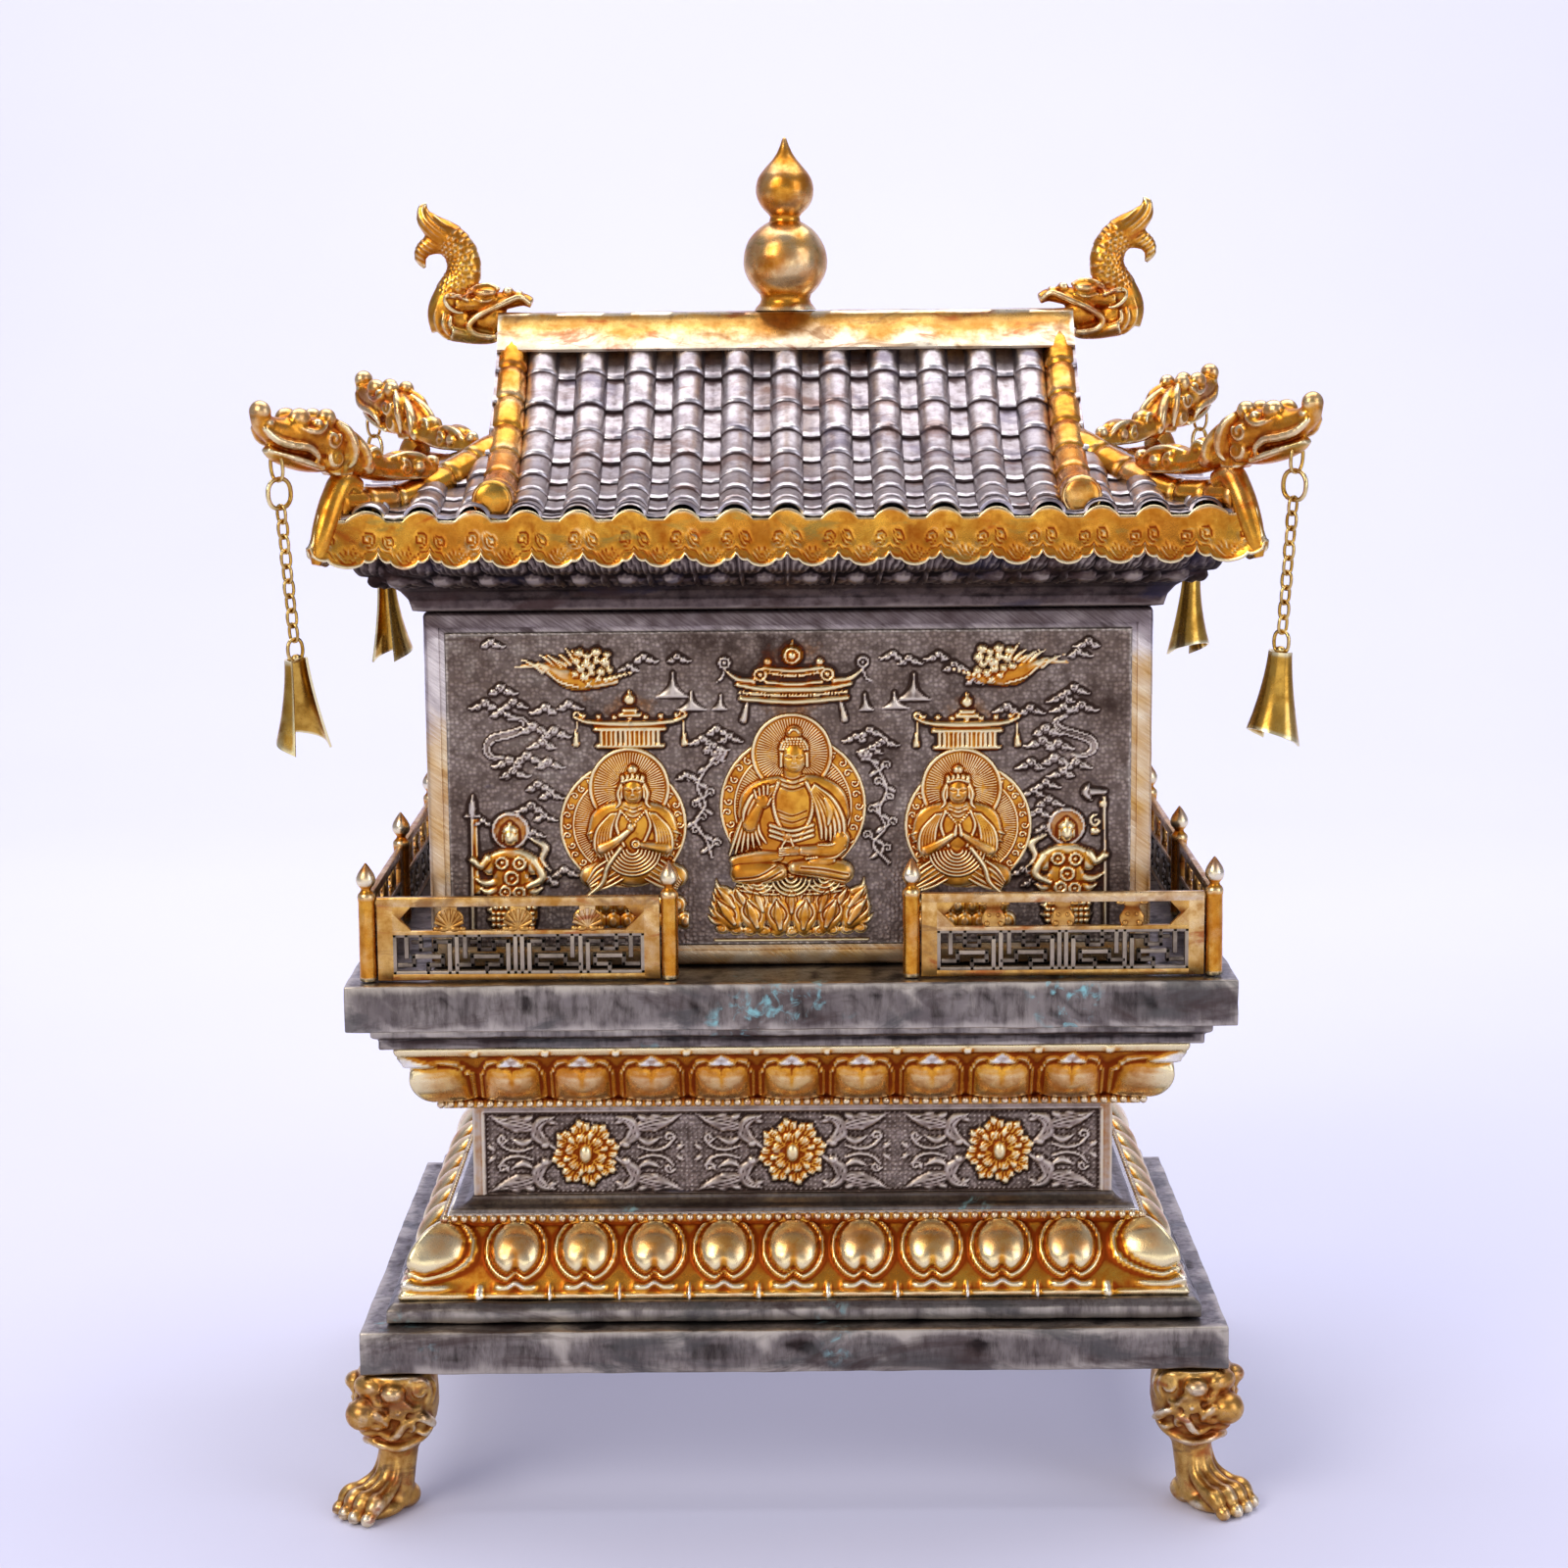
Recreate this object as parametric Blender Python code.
"""Pagoda shrine in oxidised silver and gilding: a hall with a hip-and-gable tiled roof on a lotus
terrace, standing on four lion-mask paw feet. Metres, +Z up, front towards -Y, floor at Z = 0."""

import math

import bmesh
import bpy
from mathutils import Matrix, Vector

# Clearance between two pieces that seat on each other.
GAP = 0.0003

# Foot: a lion mask at the knee over a paw, set diagonally under each corner of the base slab.
LEG_HEIGHT = 0.0405
LEG_SETBACK = 0.0127
KNEE_RADIUS = 0.0122
ANKLE_RADIUS = 0.0054
PAW_REACH = 0.0200
TOE_RADIUS = 0.0030
NOSE_REACH = 0.0018
NOSE_RADII = (0.0050, 0.0052, 0.0046)
BROW_RADII = (0.0050, 0.0054, 0.0034)
TOE_PLACES = (-1.5, -0.5, 0.5, 1.5)

# Base slab and the step plate on it.
BASE_WIDTH = 0.2360
BASE_DEPTH = 0.1675
BASE_THICKNESS = 0.0120
STEP_MARGIN = 0.0065
STEP_THICKNESS = 0.0055
STEP_BEVEL = 0.0018

# Lower band of hanging lotus petals.
LOWER_LOTUS_MARGIN = 0.0030
LOWER_LOTUS_HEIGHT = 0.0203
LOWER_LOTUS_SLOPE = 0.0132
LOWER_LOTUS_LIP = 0.0020
PETAL_BULGE = 0.0030
PETALS_ALONG_FRONT = 9
PETALS_ALONG_SIDE = 6

# Waist block with three raised flowers on its long faces.
WAIST_MARGIN = 0.0065
WAIST_HEIGHT = 0.0298
FLOWER_RADIUS = 0.0086
FLOWER_RELIEF = 0.0016
FLOWER_SPACING = 0.0560

# Upper band of rising lotus petals and the moulding on it.
UPPER_LOTUS_HEIGHT = 0.0201
UPPER_LOTUS_SLOPE = 0.0135
MOULDING_MARGIN = 0.0030
MOULDING_HEIGHT = 0.0063
MOULDING_STEP = 0.0020
MOULDING_NECK_HEIGHT = 0.0028
MOULDING_CHAMFER = 0.0009

# Terrace slab.
TERRACE_WIDTH = 0.2385
TERRACE_DEPTH = 0.1700
TERRACE_THICKNESS = 0.0128

# Railing: round posts with bud finials, and pierced panels between them.
POST_INSET = 0.0062
POST_RADIUS = 0.0023
POST_HEIGHT = 0.0237
BUD_RADIUS = 0.0025
BUD_HEIGHT = 0.0080
GATE_WIDTH = 0.0646
PANEL_HEIGHT = 0.0215
PANEL_THICKNESS = 0.0018
PANEL_BORDER = 0.0072
SLOT_HEIGHT = 0.0056
SLOT_TOP_MARGIN = 0.0026
BRACKET_WIDTH = 0.0062
FRET_HEIGHT = 0.0100
FRET_BOTTOM_MARGIN = 0.0022
FRET_BAR = 0.0012
OPENINGS_ALONG_PANEL = 4

# Hall: a closed body whose four faces hold one relief plate each.
BODY_WIDTH = 0.1956
BODY_DEPTH = 0.1270
BODY_HEIGHT = 0.0971
FRAME_WIDTH = 0.0053
POCKET_DEPTH = 0.0015
PLATE_THICKNESS = 0.0014

# Figures in the front relief: how far they stand out, and the halos' sizes.
CENTRAL_RELIEF = 0.0042
ATTENDANT_RELIEF = 0.0034
GUARDIAN_RELIEF = 0.0026
RELIEF_ROOT = 0.0004
HEAD_HALO_RADIUS = 0.0113
CENTRAL_HALO_RADIUS = 0.0203
ATTENDANT_HALO_RADIUS = 0.0176
ATTENDANT_SPACING = 0.0470
GUARDIAN_SPACING = 0.0775
HEAD_HALF_WIDTH = 0.0040
HEAD_HALF_HEIGHT = 0.0056
ROSETTE_RADIUS = 0.0230
ROSETTE_BOSS_RADIUS = 0.0150
BACK_FLOWER_RADIUS = 0.0130

# Cornice of feathered scales under the eaves.
CORNICE_NECK = 0.0035
CORNICE_SPREAD = 0.0192
CORNICE_HEIGHT = 0.0246

# Eaves, with the lobed strip that hangs below them.
EAVE_OVERHANG = 0.0212
VALANCE_HEIGHT = 0.0116
VALANCE_FLARE = 0.0045
VALANCE_THICKNESS = 0.0012
LOBE_DEPTH = 0.0034
LOBE_SHOULDER = 0.26
LOBES_ALONG_FRONT = 18
LOBES_ALONG_SIDE = 12

# Roof: concave slopes with rows of round tiles.
EAVE_THICKNESS = 0.0012
ROOF_RISE = 0.0425
SLOPE_POWER = 1.9
GABLE_HALF_WIDTH = 0.0810
HIP_START_DEPTH = 0.0400
TILE_PITCH = 0.0136
TILE_WIDTH = 0.0072
TILE_HEIGHT = 0.0028
SKIRT_ROW_OFFSET = 0.0074
TILE_ROWS_GABLE = 5
UPPER_STATIONS = 2
SKIRT_STATIONS = 2

# Gilded ridges.
RIDGE_THICKNESS = 0.0080
RIDGE_HEIGHT = 0.0090
RIDGE_WAIST = 0.86
DESCENT_RADIUS = 0.0045
DESCENT_INSET = 0.0042
DESCENT_END_MARGIN = 0.0020
HIP_RADIUS = 0.0038
HIP_LIFT = 0.0005
HIP_CORNER_LIFT = 0.0012
HIP_STATIONS = 3
GROOVE_FLOOR = 0.0006
CORNER_BLOCK_LENGTH = 0.0060
CORNER_BLOCK_HEIGHT = 0.0118

# Gourd finial on the main ridge.
FINIAL_BALL_RADIUS = 0.0118
FINIAL_BALL_DROP = 0.0016
FINIAL_FOOT_RADIUS = 0.0094
FINIAL_NECK_RADIUS = 0.0044
FINIAL_BULB_RADIUS = 0.0081
FINIAL_HEIGHT = 0.0480

# Dragons at the ends of the main ridge, and on the four hips.
RIDGE_DRAGON_HEIGHT = 0.0400
RIDGE_DRAGON_THICKNESS = 0.0092
RIDGE_DRAGON_BEVEL = 0.0014
EYE_RADII = (0.0022, 0.0012, 0.0020)
HIP_DRAGON_LENGTH = 0.0580
CHIN_HALF_WIDTH = 0.0020
CHIN_HOLE_RADIUS = 0.0011

# Wind bells on chains.
LOOP_WIRE = 0.0005
LOOP_LENGTH = 0.0076
LOOP_CLEARANCE = 0.0006
RING_RADIUS = 0.0038
RING_WIRE = 0.0007
LINK_COUNT = 9
LINK_LENGTH = 0.0044
LINK_WIDTH = 0.0031
LINK_WIRE = 0.00045
BELL_EYE_RADIUS = 0.0029
BELL_LENGTH = 0.0245
BELL_TOP_RADIUS = 0.0024
BELL_MOUTH_RADIUS = 0.0068
BELL_SHEET = 0.0007
BELL_NOTCH = 0.0050
BELL_ARC = math.radians(200.0)
BELL_DEPTH_SHARE = 0.75
PENDANT_LEAN = math.radians(5.0)

# Share of two wires' half thicknesses at which one link bears on the next.
WIRE_TOUCH = 0.60

# Numbers of sides on round forms.
POST_SIDES = 6
BALL_SIDES = 8
TUBE_SIDES = 5
WIRE_SIDES = 3
FINIAL_SIDES = 9
BELL_STEPS = 4

# Points nearer than this are one vertex of the roof's skin.
SAME_POINT = 1e-7

# Heights at which one piece ends and the next begins.
BASE_BOTTOM = LEG_HEIGHT
BASE_TOP = BASE_BOTTOM + BASE_THICKNESS
STEP_TOP = BASE_TOP + GAP + STEP_THICKNESS
LOWER_LOTUS_TOP = STEP_TOP + GAP + LOWER_LOTUS_HEIGHT
WAIST_TOP = LOWER_LOTUS_TOP + GAP + WAIST_HEIGHT
UPPER_LOTUS_TOP = WAIST_TOP + GAP + UPPER_LOTUS_HEIGHT
MOULDING_TOP = UPPER_LOTUS_TOP + GAP + MOULDING_HEIGHT
TERRACE_TOP = MOULDING_TOP + GAP + TERRACE_THICKNESS
BODY_TOP = TERRACE_TOP + GAP + BODY_HEIGHT
CORNICE_TOP = BODY_TOP + GAP + CORNICE_HEIGHT
ROOF_BOTTOM = CORNICE_TOP + GAP
EAVE_TOP = ROOF_BOTTOM + EAVE_THICKNESS
ROOF_TOP = EAVE_TOP + ROOF_RISE
RIDGE_TOP = ROOF_TOP + GAP + RIDGE_HEIGHT

# Half widths and half depths of the stack, each worked out from what carries it.
STEP_HALF = Vector((BASE_WIDTH / 2 - STEP_MARGIN, BASE_DEPTH / 2 - STEP_MARGIN))
LOTUS_FOOT_HALF = STEP_HALF - Vector((LOWER_LOTUS_MARGIN, LOWER_LOTUS_MARGIN))
LOTUS_LIP_HALF = LOTUS_FOOT_HALF - Vector((LOWER_LOTUS_SLOPE, LOWER_LOTUS_SLOPE))
WAIST_HALF = LOTUS_LIP_HALF - Vector((WAIST_MARGIN, WAIST_MARGIN))
BODY_HALF = Vector((BODY_WIDTH / 2, BODY_DEPTH / 2))
EAVE_HALF = BODY_HALF + Vector((EAVE_OVERHANG, EAVE_OVERHANG))
RIDGE_SEAT = RIDGE_THICKNESS / 2 + GAP
DESCENT_PLACE = GABLE_HALF_WIDTH - DESCENT_INSET

GILDING = ("gilding", "#C8912F", 1.0, 0.30)
DARK_SILVER = ("oxidised_silver", "#6B625E", 1.0, 0.42)
TILE_SILVER = ("tile_silver", "#8B8385", 1.0, 0.38)
RELIEF_SILVER = ("relief_silver", "#7A7068", 1.0, 0.40)
BRASS = ("brass_wire", "#B98A3C", 1.0, 0.28)


def hex_to_linear(code):
    """The linear colour of an sRGB hex code."""
    channels = [int(code[i : i + 2], 16) / 255 for i in (1, 3, 5)]
    linear = [c / 12.92 if c <= 0.04045 else ((c + 0.055) / 1.055) ** 2.4 for c in channels]
    return (*linear, 1.0)


def finish(name, settings):
    """A metal of its own for one piece."""
    _, colour, metallic, roughness = settings
    material = bpy.data.materials.new(f"{name}_{settings[0]}")
    material.use_nodes = True
    shader = material.node_tree.nodes["Principled BSDF"]
    shader.inputs["Base Color"].default_value = hex_to_linear(colour)
    shader.inputs["Metallic"].default_value = metallic
    shader.inputs["Roughness"].default_value = roughness
    return material


def clear_scene():
    for obj in list(bpy.data.objects):
        bpy.data.objects.remove(obj, do_unlink=True)


def place(name, mesh, settings, matrix=None, smooth=False):
    """Puts a mesh into the scene as one named piece."""
    obj = bpy.data.objects.new(name, mesh)
    bpy.context.scene.collection.objects.link(obj)
    obj.matrix_world = matrix or Matrix.Identity(4)
    if not mesh.materials:
        mesh.materials.append(finish(name, settings))
    if smooth:
        mesh.shade_smooth()
        mesh.set_sharp_from_angle(angle=math.radians(40))
    return obj


def mesh_of(bm, name):
    """Closes a shape's work: faces turned outwards, written to a mesh."""
    bmesh.ops.recalc_face_normals(bm, faces=bm.faces[:])
    mesh = bpy.data.meshes.new(name)
    bm.to_mesh(mesh)
    bm.free()
    return mesh


def loft(rings):
    """One closed shell through rings of points. A ring of a single point closes to a tip."""
    bm = bmesh.new()
    rows = [[bm.verts.new(point) for point in ring] for ring in rings]
    for lower, upper in zip(rows, rows[1:]):
        count = max(len(lower), len(upper))
        for i in range(count):
            j = (i + 1) % count
            below = [lower[i % len(lower)], lower[j % len(lower)]]
            above = [upper[j % len(upper)], upper[i % len(upper)]]
            bm.faces.new(list(dict.fromkeys(below + above)))
    for row in (rows[0], rows[-1]):
        if len(row) > 2:
            bm.faces.new(row)
    bmesh.ops.recalc_face_normals(bm, faces=bm.faces[:])
    return bm


def rectangle(half, z, grow=0.0):
    """A level rectangle's corners, its half size grown by a margin."""
    x = half[0] + grow
    y = half[1] + grow
    return [Vector((-x, -y, z)), Vector((x, -y, z)), Vector((x, y, z)), Vector((-x, y, z))]


def block(low, high):
    """A closed box between two corners."""
    corners = [(low[0], low[1]), (high[0], low[1]), (high[0], high[1]), (low[0], high[1])]
    return loft([[Vector((x, y, z)) for x, y in corners] for z in (low[2], high[2])])


def turned(profile, sides, centre=(0, 0, 0), squash=1.0):
    """A turned form from (radius, height) pairs. Squash flattens it along Y."""
    rings = []
    for radius, height in profile:
        if radius == 0:
            rings.append([Vector((centre[0], centre[1], centre[2] + height))])
            continue
        ring = []
        for i in range(sides):
            angle = 2 * math.pi * (i + 0.5) / sides
            x = centre[0] + radius * math.cos(angle)
            y = centre[1] + radius * math.sin(angle) * squash
            ring.append(Vector((x, y, centre[2] + height)))
        rings.append(ring)
    return loft(rings)


def ball(centre, radii, sides=BALL_SIDES, bands=4):
    """An ellipsoid with its poles on Z."""
    rings = []
    for k in range(bands + 1):
        tilt = math.pi * k / bands
        height = -math.cos(tilt) * radii[2]
        if k in (0, bands):
            rings.append([Vector(centre) + Vector((0, 0, height))])
            continue
        ring = []
        for i in range(sides):
            angle = 2 * math.pi * (i + 0.5) / sides
            x = radii[0] * math.sin(tilt) * math.cos(angle)
            y = radii[1] * math.sin(tilt) * math.sin(angle)
            ring.append(Vector(centre) + Vector((x, y, height)))
        rings.append(ring)
    return loft(rings)


def swept(route, sides=TUBE_SIDES, across=Vector((0, 1, 0))):
    """A tube along a route of (point, radius across, radius in the route's own plane)."""
    points = [Vector(stop[0]) for stop in route]
    rings = []
    for i, (_, wide, deep) in enumerate(route):
        ahead = points[min(i + 1, len(points) - 1)]
        behind = points[max(i - 1, 0)]
        normal = (ahead - behind).cross(across).normalized()
        ring = []
        for k in range(sides):
            angle = 2 * math.pi * (k + 0.5) / sides
            ring.append(points[i] + across * (wide * math.cos(angle)) + normal * (deep * math.sin(angle)))
        rings.append(ring)
    return loft(rings)


def prism(outline, axis, low, high):
    """An outline in the plane across an axis, extruded along it. For Y the outline is (x, z),
    and for X it is (y, z)."""
    rings = []
    for depth in (low, high):
        if axis == "Y":
            rings.append([Vector((a, depth, b)) for a, b in outline])
        else:
            rings.append([Vector((depth, a, b)) for a, b in outline])
    return loft(rings)


def moved(bm, matrix):
    bmesh.ops.transform(bm, matrix=matrix, verts=bm.verts[:])
    return bm


def helper(name, shells):
    """A hidden object that holds several closed shells, for a Boolean."""
    joined = bmesh.new()
    for shell in shells:
        part = bpy.data.meshes.new("shell")
        shell.to_mesh(part)
        shell.free()
        joined.from_mesh(part)
        bpy.data.meshes.remove(part)
    mesh = bpy.data.meshes.new(name)
    joined.to_mesh(mesh)
    joined.free()
    obj = bpy.data.objects.new(name, mesh)
    bpy.context.scene.collection.objects.link(obj)
    obj.hide_render = True
    obj.display_type = "WIRE"
    return obj


def combined(name, base, others, operation="UNION"):
    """The mesh of one shell joined with, or cut by, the other shells."""
    body = helper(f"{name}_base", [base])
    tools = helper(f"{name}_tools", others)
    step = body.modifiers.new(operation.lower(), "BOOLEAN")
    step.operation = operation
    step.solver = "EXACT"
    step.use_self = True
    step.object = tools
    bpy.context.view_layer.update()
    graph = bpy.context.evaluated_depsgraph_get()
    mesh = bpy.data.meshes.new_from_object(body.evaluated_get(graph))
    mesh.name = name
    for obj in (body, tools):
        bpy.data.objects.remove(obj, do_unlink=True)
    fill_sealed_voids(mesh)
    return mesh


def fill_sealed_voids(mesh):
    """Removes the inner skins that overlapping shells enclose, so that the metal is solid there."""
    bm = bmesh.new()
    bm.from_mesh(mesh)
    unseen = set(bm.verts)
    while unseen:
        island = [unseen.pop()]
        for vert in island:
            for edge in vert.link_edges:
                other = edge.other_vert(vert)
                if other in unseen:
                    unseen.remove(other)
                    island.append(other)
        volume = 0.0
        for face in {face for vert in island for face in vert.link_faces}:
            volume += face.calc_center_median().dot(face.normal) * face.calc_area()
        if volume < 0:
            bmesh.ops.delete(bm, geom=island, context="VERTS")
    bm.to_mesh(mesh)
    bm.free()


def shape_of(mesh):
    """A bmesh copy of a finished mesh, for a further step."""
    bm = bmesh.new()
    bm.from_mesh(mesh)
    bpy.data.meshes.remove(mesh)
    return bm


def corner_frames():
    """Name and world frame of the four hip corners: X along the hip outwards, Z up."""
    run = Vector((EAVE_HALF.x - GABLE_HALF_WIDTH, EAVE_HALF.y - HIP_START_DEPTH))
    for name, sx, sy in (
        ("front_left", -1, -1),
        ("front_right", 1, -1),
        ("back_right", 1, 1),
        ("back_left", -1, 1),
    ):
        angle = math.atan2(sy * run.y, sx * run.x)
        corner = Matrix.Translation((sx * EAVE_HALF.x, sy * EAVE_HALF.y, 0))
        yield name, corner @ Matrix.Rotation(angle, 4, "Z")


def roof_height(depth):
    """Height of the bare slope at a distance from the ridge line, measured towards the eave."""
    share = (abs(depth) - RIDGE_SEAT) / (EAVE_HALF.y - RIDGE_SEAT)
    share = min(max(share, 0.0), 1.0)
    return EAVE_TOP + ROOF_RISE * (1 - share) ** SLOPE_POWER


# Feet


def make_leg():
    """A foot in its own frame: X outwards along the diagonal, with the slab's corner at X = 0."""
    knee_centre = -LEG_SETBACK
    top = LEG_HEIGHT - GAP
    knee = turned(
        [
            (KNEE_RADIUS * 0.55, 0.40 * LEG_HEIGHT),
            (KNEE_RADIUS * 0.86, 0.52 * LEG_HEIGHT),
            (KNEE_RADIUS, 0.68 * LEG_HEIGHT),
            (KNEE_RADIUS, 0.84 * LEG_HEIGHT),
            (KNEE_RADIUS * 0.86, LEG_HEIGHT),
        ],
        BALL_SIDES,
        (knee_centre, 0, 0),
    )
    ankle_top = 0.48 * LEG_HEIGHT
    paw_top = 0.26 * LEG_HEIGHT
    heel = -LEG_SETBACK - ANKLE_RADIUS
    ankle = swept(
        [
            ((knee_centre, 0, ankle_top), ANKLE_RADIUS * 1.1, ANKLE_RADIUS * 1.15),
            ((knee_centre + 0.03 * KNEE_RADIUS, 0, 0.32 * LEG_HEIGHT), ANKLE_RADIUS, ANKLE_RADIUS),
            ((knee_centre + TOE_RADIUS, 0, 0.06 * LEG_HEIGHT), ANKLE_RADIUS * 1.2, ANKLE_RADIUS * 1.2),
        ],
        6,
    )
    toe_end = knee_centre + PAW_REACH
    trim = -TOE_RADIUS / 3
    wide = 2.6 * TOE_RADIUS
    narrow = 2.2 * TOE_RADIUS
    sole = loft(
        [
            [
                Vector((heel, -ANKLE_RADIUS, trim)),
                Vector((toe_end - 1.3 * TOE_RADIUS, -wide, trim)),
                Vector((toe_end - 0.3 * TOE_RADIUS, 0, trim)),
                Vector((toe_end - 1.3 * TOE_RADIUS, wide, trim)),
                Vector((heel, ANKLE_RADIUS, trim)),
            ],
            [
                Vector((heel + 0.2 * ANKLE_RADIUS, -ANKLE_RADIUS * 0.8, paw_top * 0.7)),
                Vector((toe_end - 2.3 * TOE_RADIUS, -narrow, paw_top * 0.6)),
                Vector((toe_end - 2.0 * TOE_RADIUS, 0, paw_top * 0.7)),
                Vector((toe_end - 2.3 * TOE_RADIUS, narrow, paw_top * 0.6)),
                Vector((heel + 0.2 * ANKLE_RADIUS, ANKLE_RADIUS * 0.8, paw_top * 0.7)),
            ],
        ]
    )
    shells = [ankle, sole]
    for toe in TOE_PLACES:
        across = toe * 1.75 * TOE_RADIUS
        reach = toe_end - 0.5 * TOE_RADIUS * abs(toe) - TOE_RADIUS
        root = Vector((knee_centre + TOE_RADIUS, across * 0.7, paw_top))
        knuckle = Vector((reach - 0.7 * TOE_RADIUS, across, TOE_RADIUS * 1.7))
        nail = Vector((reach + 0.7 * TOE_RADIUS, across * 1.1, TOE_RADIUS * 0.8))
        bones = [
            (root, TOE_RADIUS * 0.8, TOE_RADIUS * 0.9),
            (knuckle, TOE_RADIUS, TOE_RADIUS * 1.1),
            (nail, TOE_RADIUS * 0.6, TOE_RADIUS * 0.6),
        ]
        shells.append(swept(bones, 4))
    nose_x = knee_centre + KNEE_RADIUS + NOSE_REACH
    shells.append(ball((nose_x, 0, 0.75 * LEG_HEIGHT), NOSE_RADII, 6, 2))
    for side in (-1, 1):
        brow = (knee_centre + 0.72 * KNEE_RADIUS, side * 0.55 * KNEE_RADIUS, 0.90 * LEG_HEIGHT)
        shells.append(ball(brow, BROW_RADII, 6, 2))
    room = 4 * KNEE_RADIUS
    between = block((-room, -room, 0.0), (room, room, top))
    return combined("leg", shape_of(combined("leg", knee, shells)), [between], "INTERSECT")


def add_legs():
    mesh = make_leg()
    for name, sx, sy in (
        ("front_left", -1, -1),
        ("front_right", 1, -1),
        ("back_right", 1, 1),
        ("back_left", -1, 1),
    ):
        corner = Matrix.Translation((sx * BASE_WIDTH / 2, sy * BASE_DEPTH / 2, 0))
        turn = Matrix.Rotation(math.atan2(sy, sx), 4, "Z")
        place(f"{name}_leg", mesh, GILDING, corner @ turn, True)


# Base, waist and terrace


def add_slabs():
    base_half = (BASE_WIDTH / 2, BASE_DEPTH / 2)
    base = loft([rectangle(base_half, BASE_BOTTOM), rectangle(base_half, BASE_TOP)])
    place("base_slab", mesh_of(base, "base_slab"), DARK_SILVER)
    step = loft(
        [
            rectangle(STEP_HALF, BASE_TOP + GAP),
            rectangle(STEP_HALF, STEP_TOP - STEP_BEVEL),
            rectangle(STEP_HALF, STEP_TOP, -STEP_BEVEL),
        ]
    )
    place("base_step", mesh_of(step, "base_step"), DARK_SILVER)
    terrace_half = (TERRACE_WIDTH / 2, TERRACE_DEPTH / 2)
    terrace = loft([rectangle(terrace_half, MOULDING_TOP + GAP), rectangle(terrace_half, TERRACE_TOP)])
    place("terrace_slab", mesh_of(terrace, "terrace_slab"), DARK_SILVER)
    margin = 2 * MOULDING_MARGIN
    moulding_top_half = (TERRACE_WIDTH / 2 - margin, TERRACE_DEPTH / 2 - margin)
    shoulder = UPPER_LOTUS_TOP + GAP + MOULDING_NECK_HEIGHT
    moulding = loft(
        [
            rectangle(moulding_top_half, UPPER_LOTUS_TOP + GAP, -MOULDING_STEP),
            rectangle(moulding_top_half, shoulder, -MOULDING_STEP),
            rectangle(moulding_top_half, shoulder + MOULDING_CHAMFER),
            rectangle(moulding_top_half, MOULDING_TOP),
        ]
    )
    place("terrace_moulding", mesh_of(moulding, "terrace_moulding"), DARK_SILVER)


def scalloped_ring(half, z, bulge):
    """A level ring around a rectangle whose sides swell once for each petal."""
    ring = []
    corners = [(-1, -1), (1, -1), (1, 1), (-1, 1)]
    for index, (sx, sy) in enumerate(corners):
        nx, ny = corners[(index + 1) % 4]
        start = Vector((sx * half[0], sy * half[1], z))
        end = Vector((nx * half[0], ny * half[1], z))
        along = end - start
        outward = Vector((along.y, -along.x, 0)).normalized()
        petals = (PETALS_ALONG_FRONT if index % 2 == 0 else PETALS_ALONG_SIDE) + 1
        swell = bulge / math.sqrt(2)
        ring.append(start + Vector((sx * swell, sy * swell, 0)))
        for k in range(petals):
            if k > 0:
                ring.append(start + along * (k / petals) + outward * bulge)
            ring.append(start + along * ((k + 0.5) / petals))
    return ring


def add_lotus_bands():
    bottom = STEP_TOP + GAP
    lip = LOWER_LOTUS_TOP - LOWER_LOTUS_LIP
    foot = LOTUS_FOOT_HALF
    bulge = Vector((PETAL_BULGE, PETAL_BULGE))
    slope = Vector((LOWER_LOTUS_SLOPE, LOWER_LOTUS_SLOPE))
    height = lip - bottom
    lower = loft(
        [
            scalloped_ring(foot - bulge, bottom, PETAL_BULGE),
            scalloped_ring(foot - slope * 0.52, bottom + 0.62 * height, PETAL_BULGE * 0.9),
            scalloped_ring(LOTUS_LIP_HALF, lip, 0.0),
            scalloped_ring(LOTUS_LIP_HALF, LOWER_LOTUS_TOP, 0.0),
        ]
    )
    place("lower_lotus_band", mesh_of(lower, "lower_lotus_band"), GILDING, smooth=True)
    bottom = WAIST_TOP + GAP
    height = UPPER_LOTUS_HEIGHT
    spread = Vector((UPPER_LOTUS_SLOPE, UPPER_LOTUS_SLOPE))
    lip_half = LOTUS_LIP_HALF
    upper = loft(
        [
            scalloped_ring(lip_half, bottom, 0.0),
            scalloped_ring(lip_half + spread * 0.30, bottom + 0.50 * height, PETAL_BULGE * 0.7),
            scalloped_ring(lip_half + spread - bulge, UPPER_LOTUS_TOP, PETAL_BULGE),
        ]
    )
    place("upper_lotus_band", mesh_of(upper, "upper_lotus_band"), GILDING, smooth=True)


def relief_dome(x, z, radius_x, radius_z, relief, sides=6):
    """A low dome standing out towards -Y from a plate whose face is at Y = 0, its rim sunk in it."""
    rings = []
    for share, depth in ((1.0, RELIEF_ROOT), (0.72, -0.80 * relief)):
        ring = []
        for i in range(sides):
            angle = 2 * math.pi * (i + 0.5) / sides
            px = x + radius_x * share * math.cos(angle)
            pz = z + radius_z * share * math.sin(angle)
            ring.append(Vector((px, depth, pz)))
        rings.append(ring)
    rings.append([Vector((x, -relief, z))])
    return loft(rings)


def relief_disc(x, z, radius, relief, sides=12):
    """A flat disc standing out towards -Y from a plate, such as a halo."""
    rings = []
    for depth in (RELIEF_ROOT, -relief):
        ring = []
        for i in range(sides):
            angle = 2 * math.pi * (i + 0.5) / sides
            ring.append(Vector((x + radius * math.cos(angle), depth, z + radius * math.sin(angle))))
        rings.append(ring)
    return loft(rings)


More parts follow.
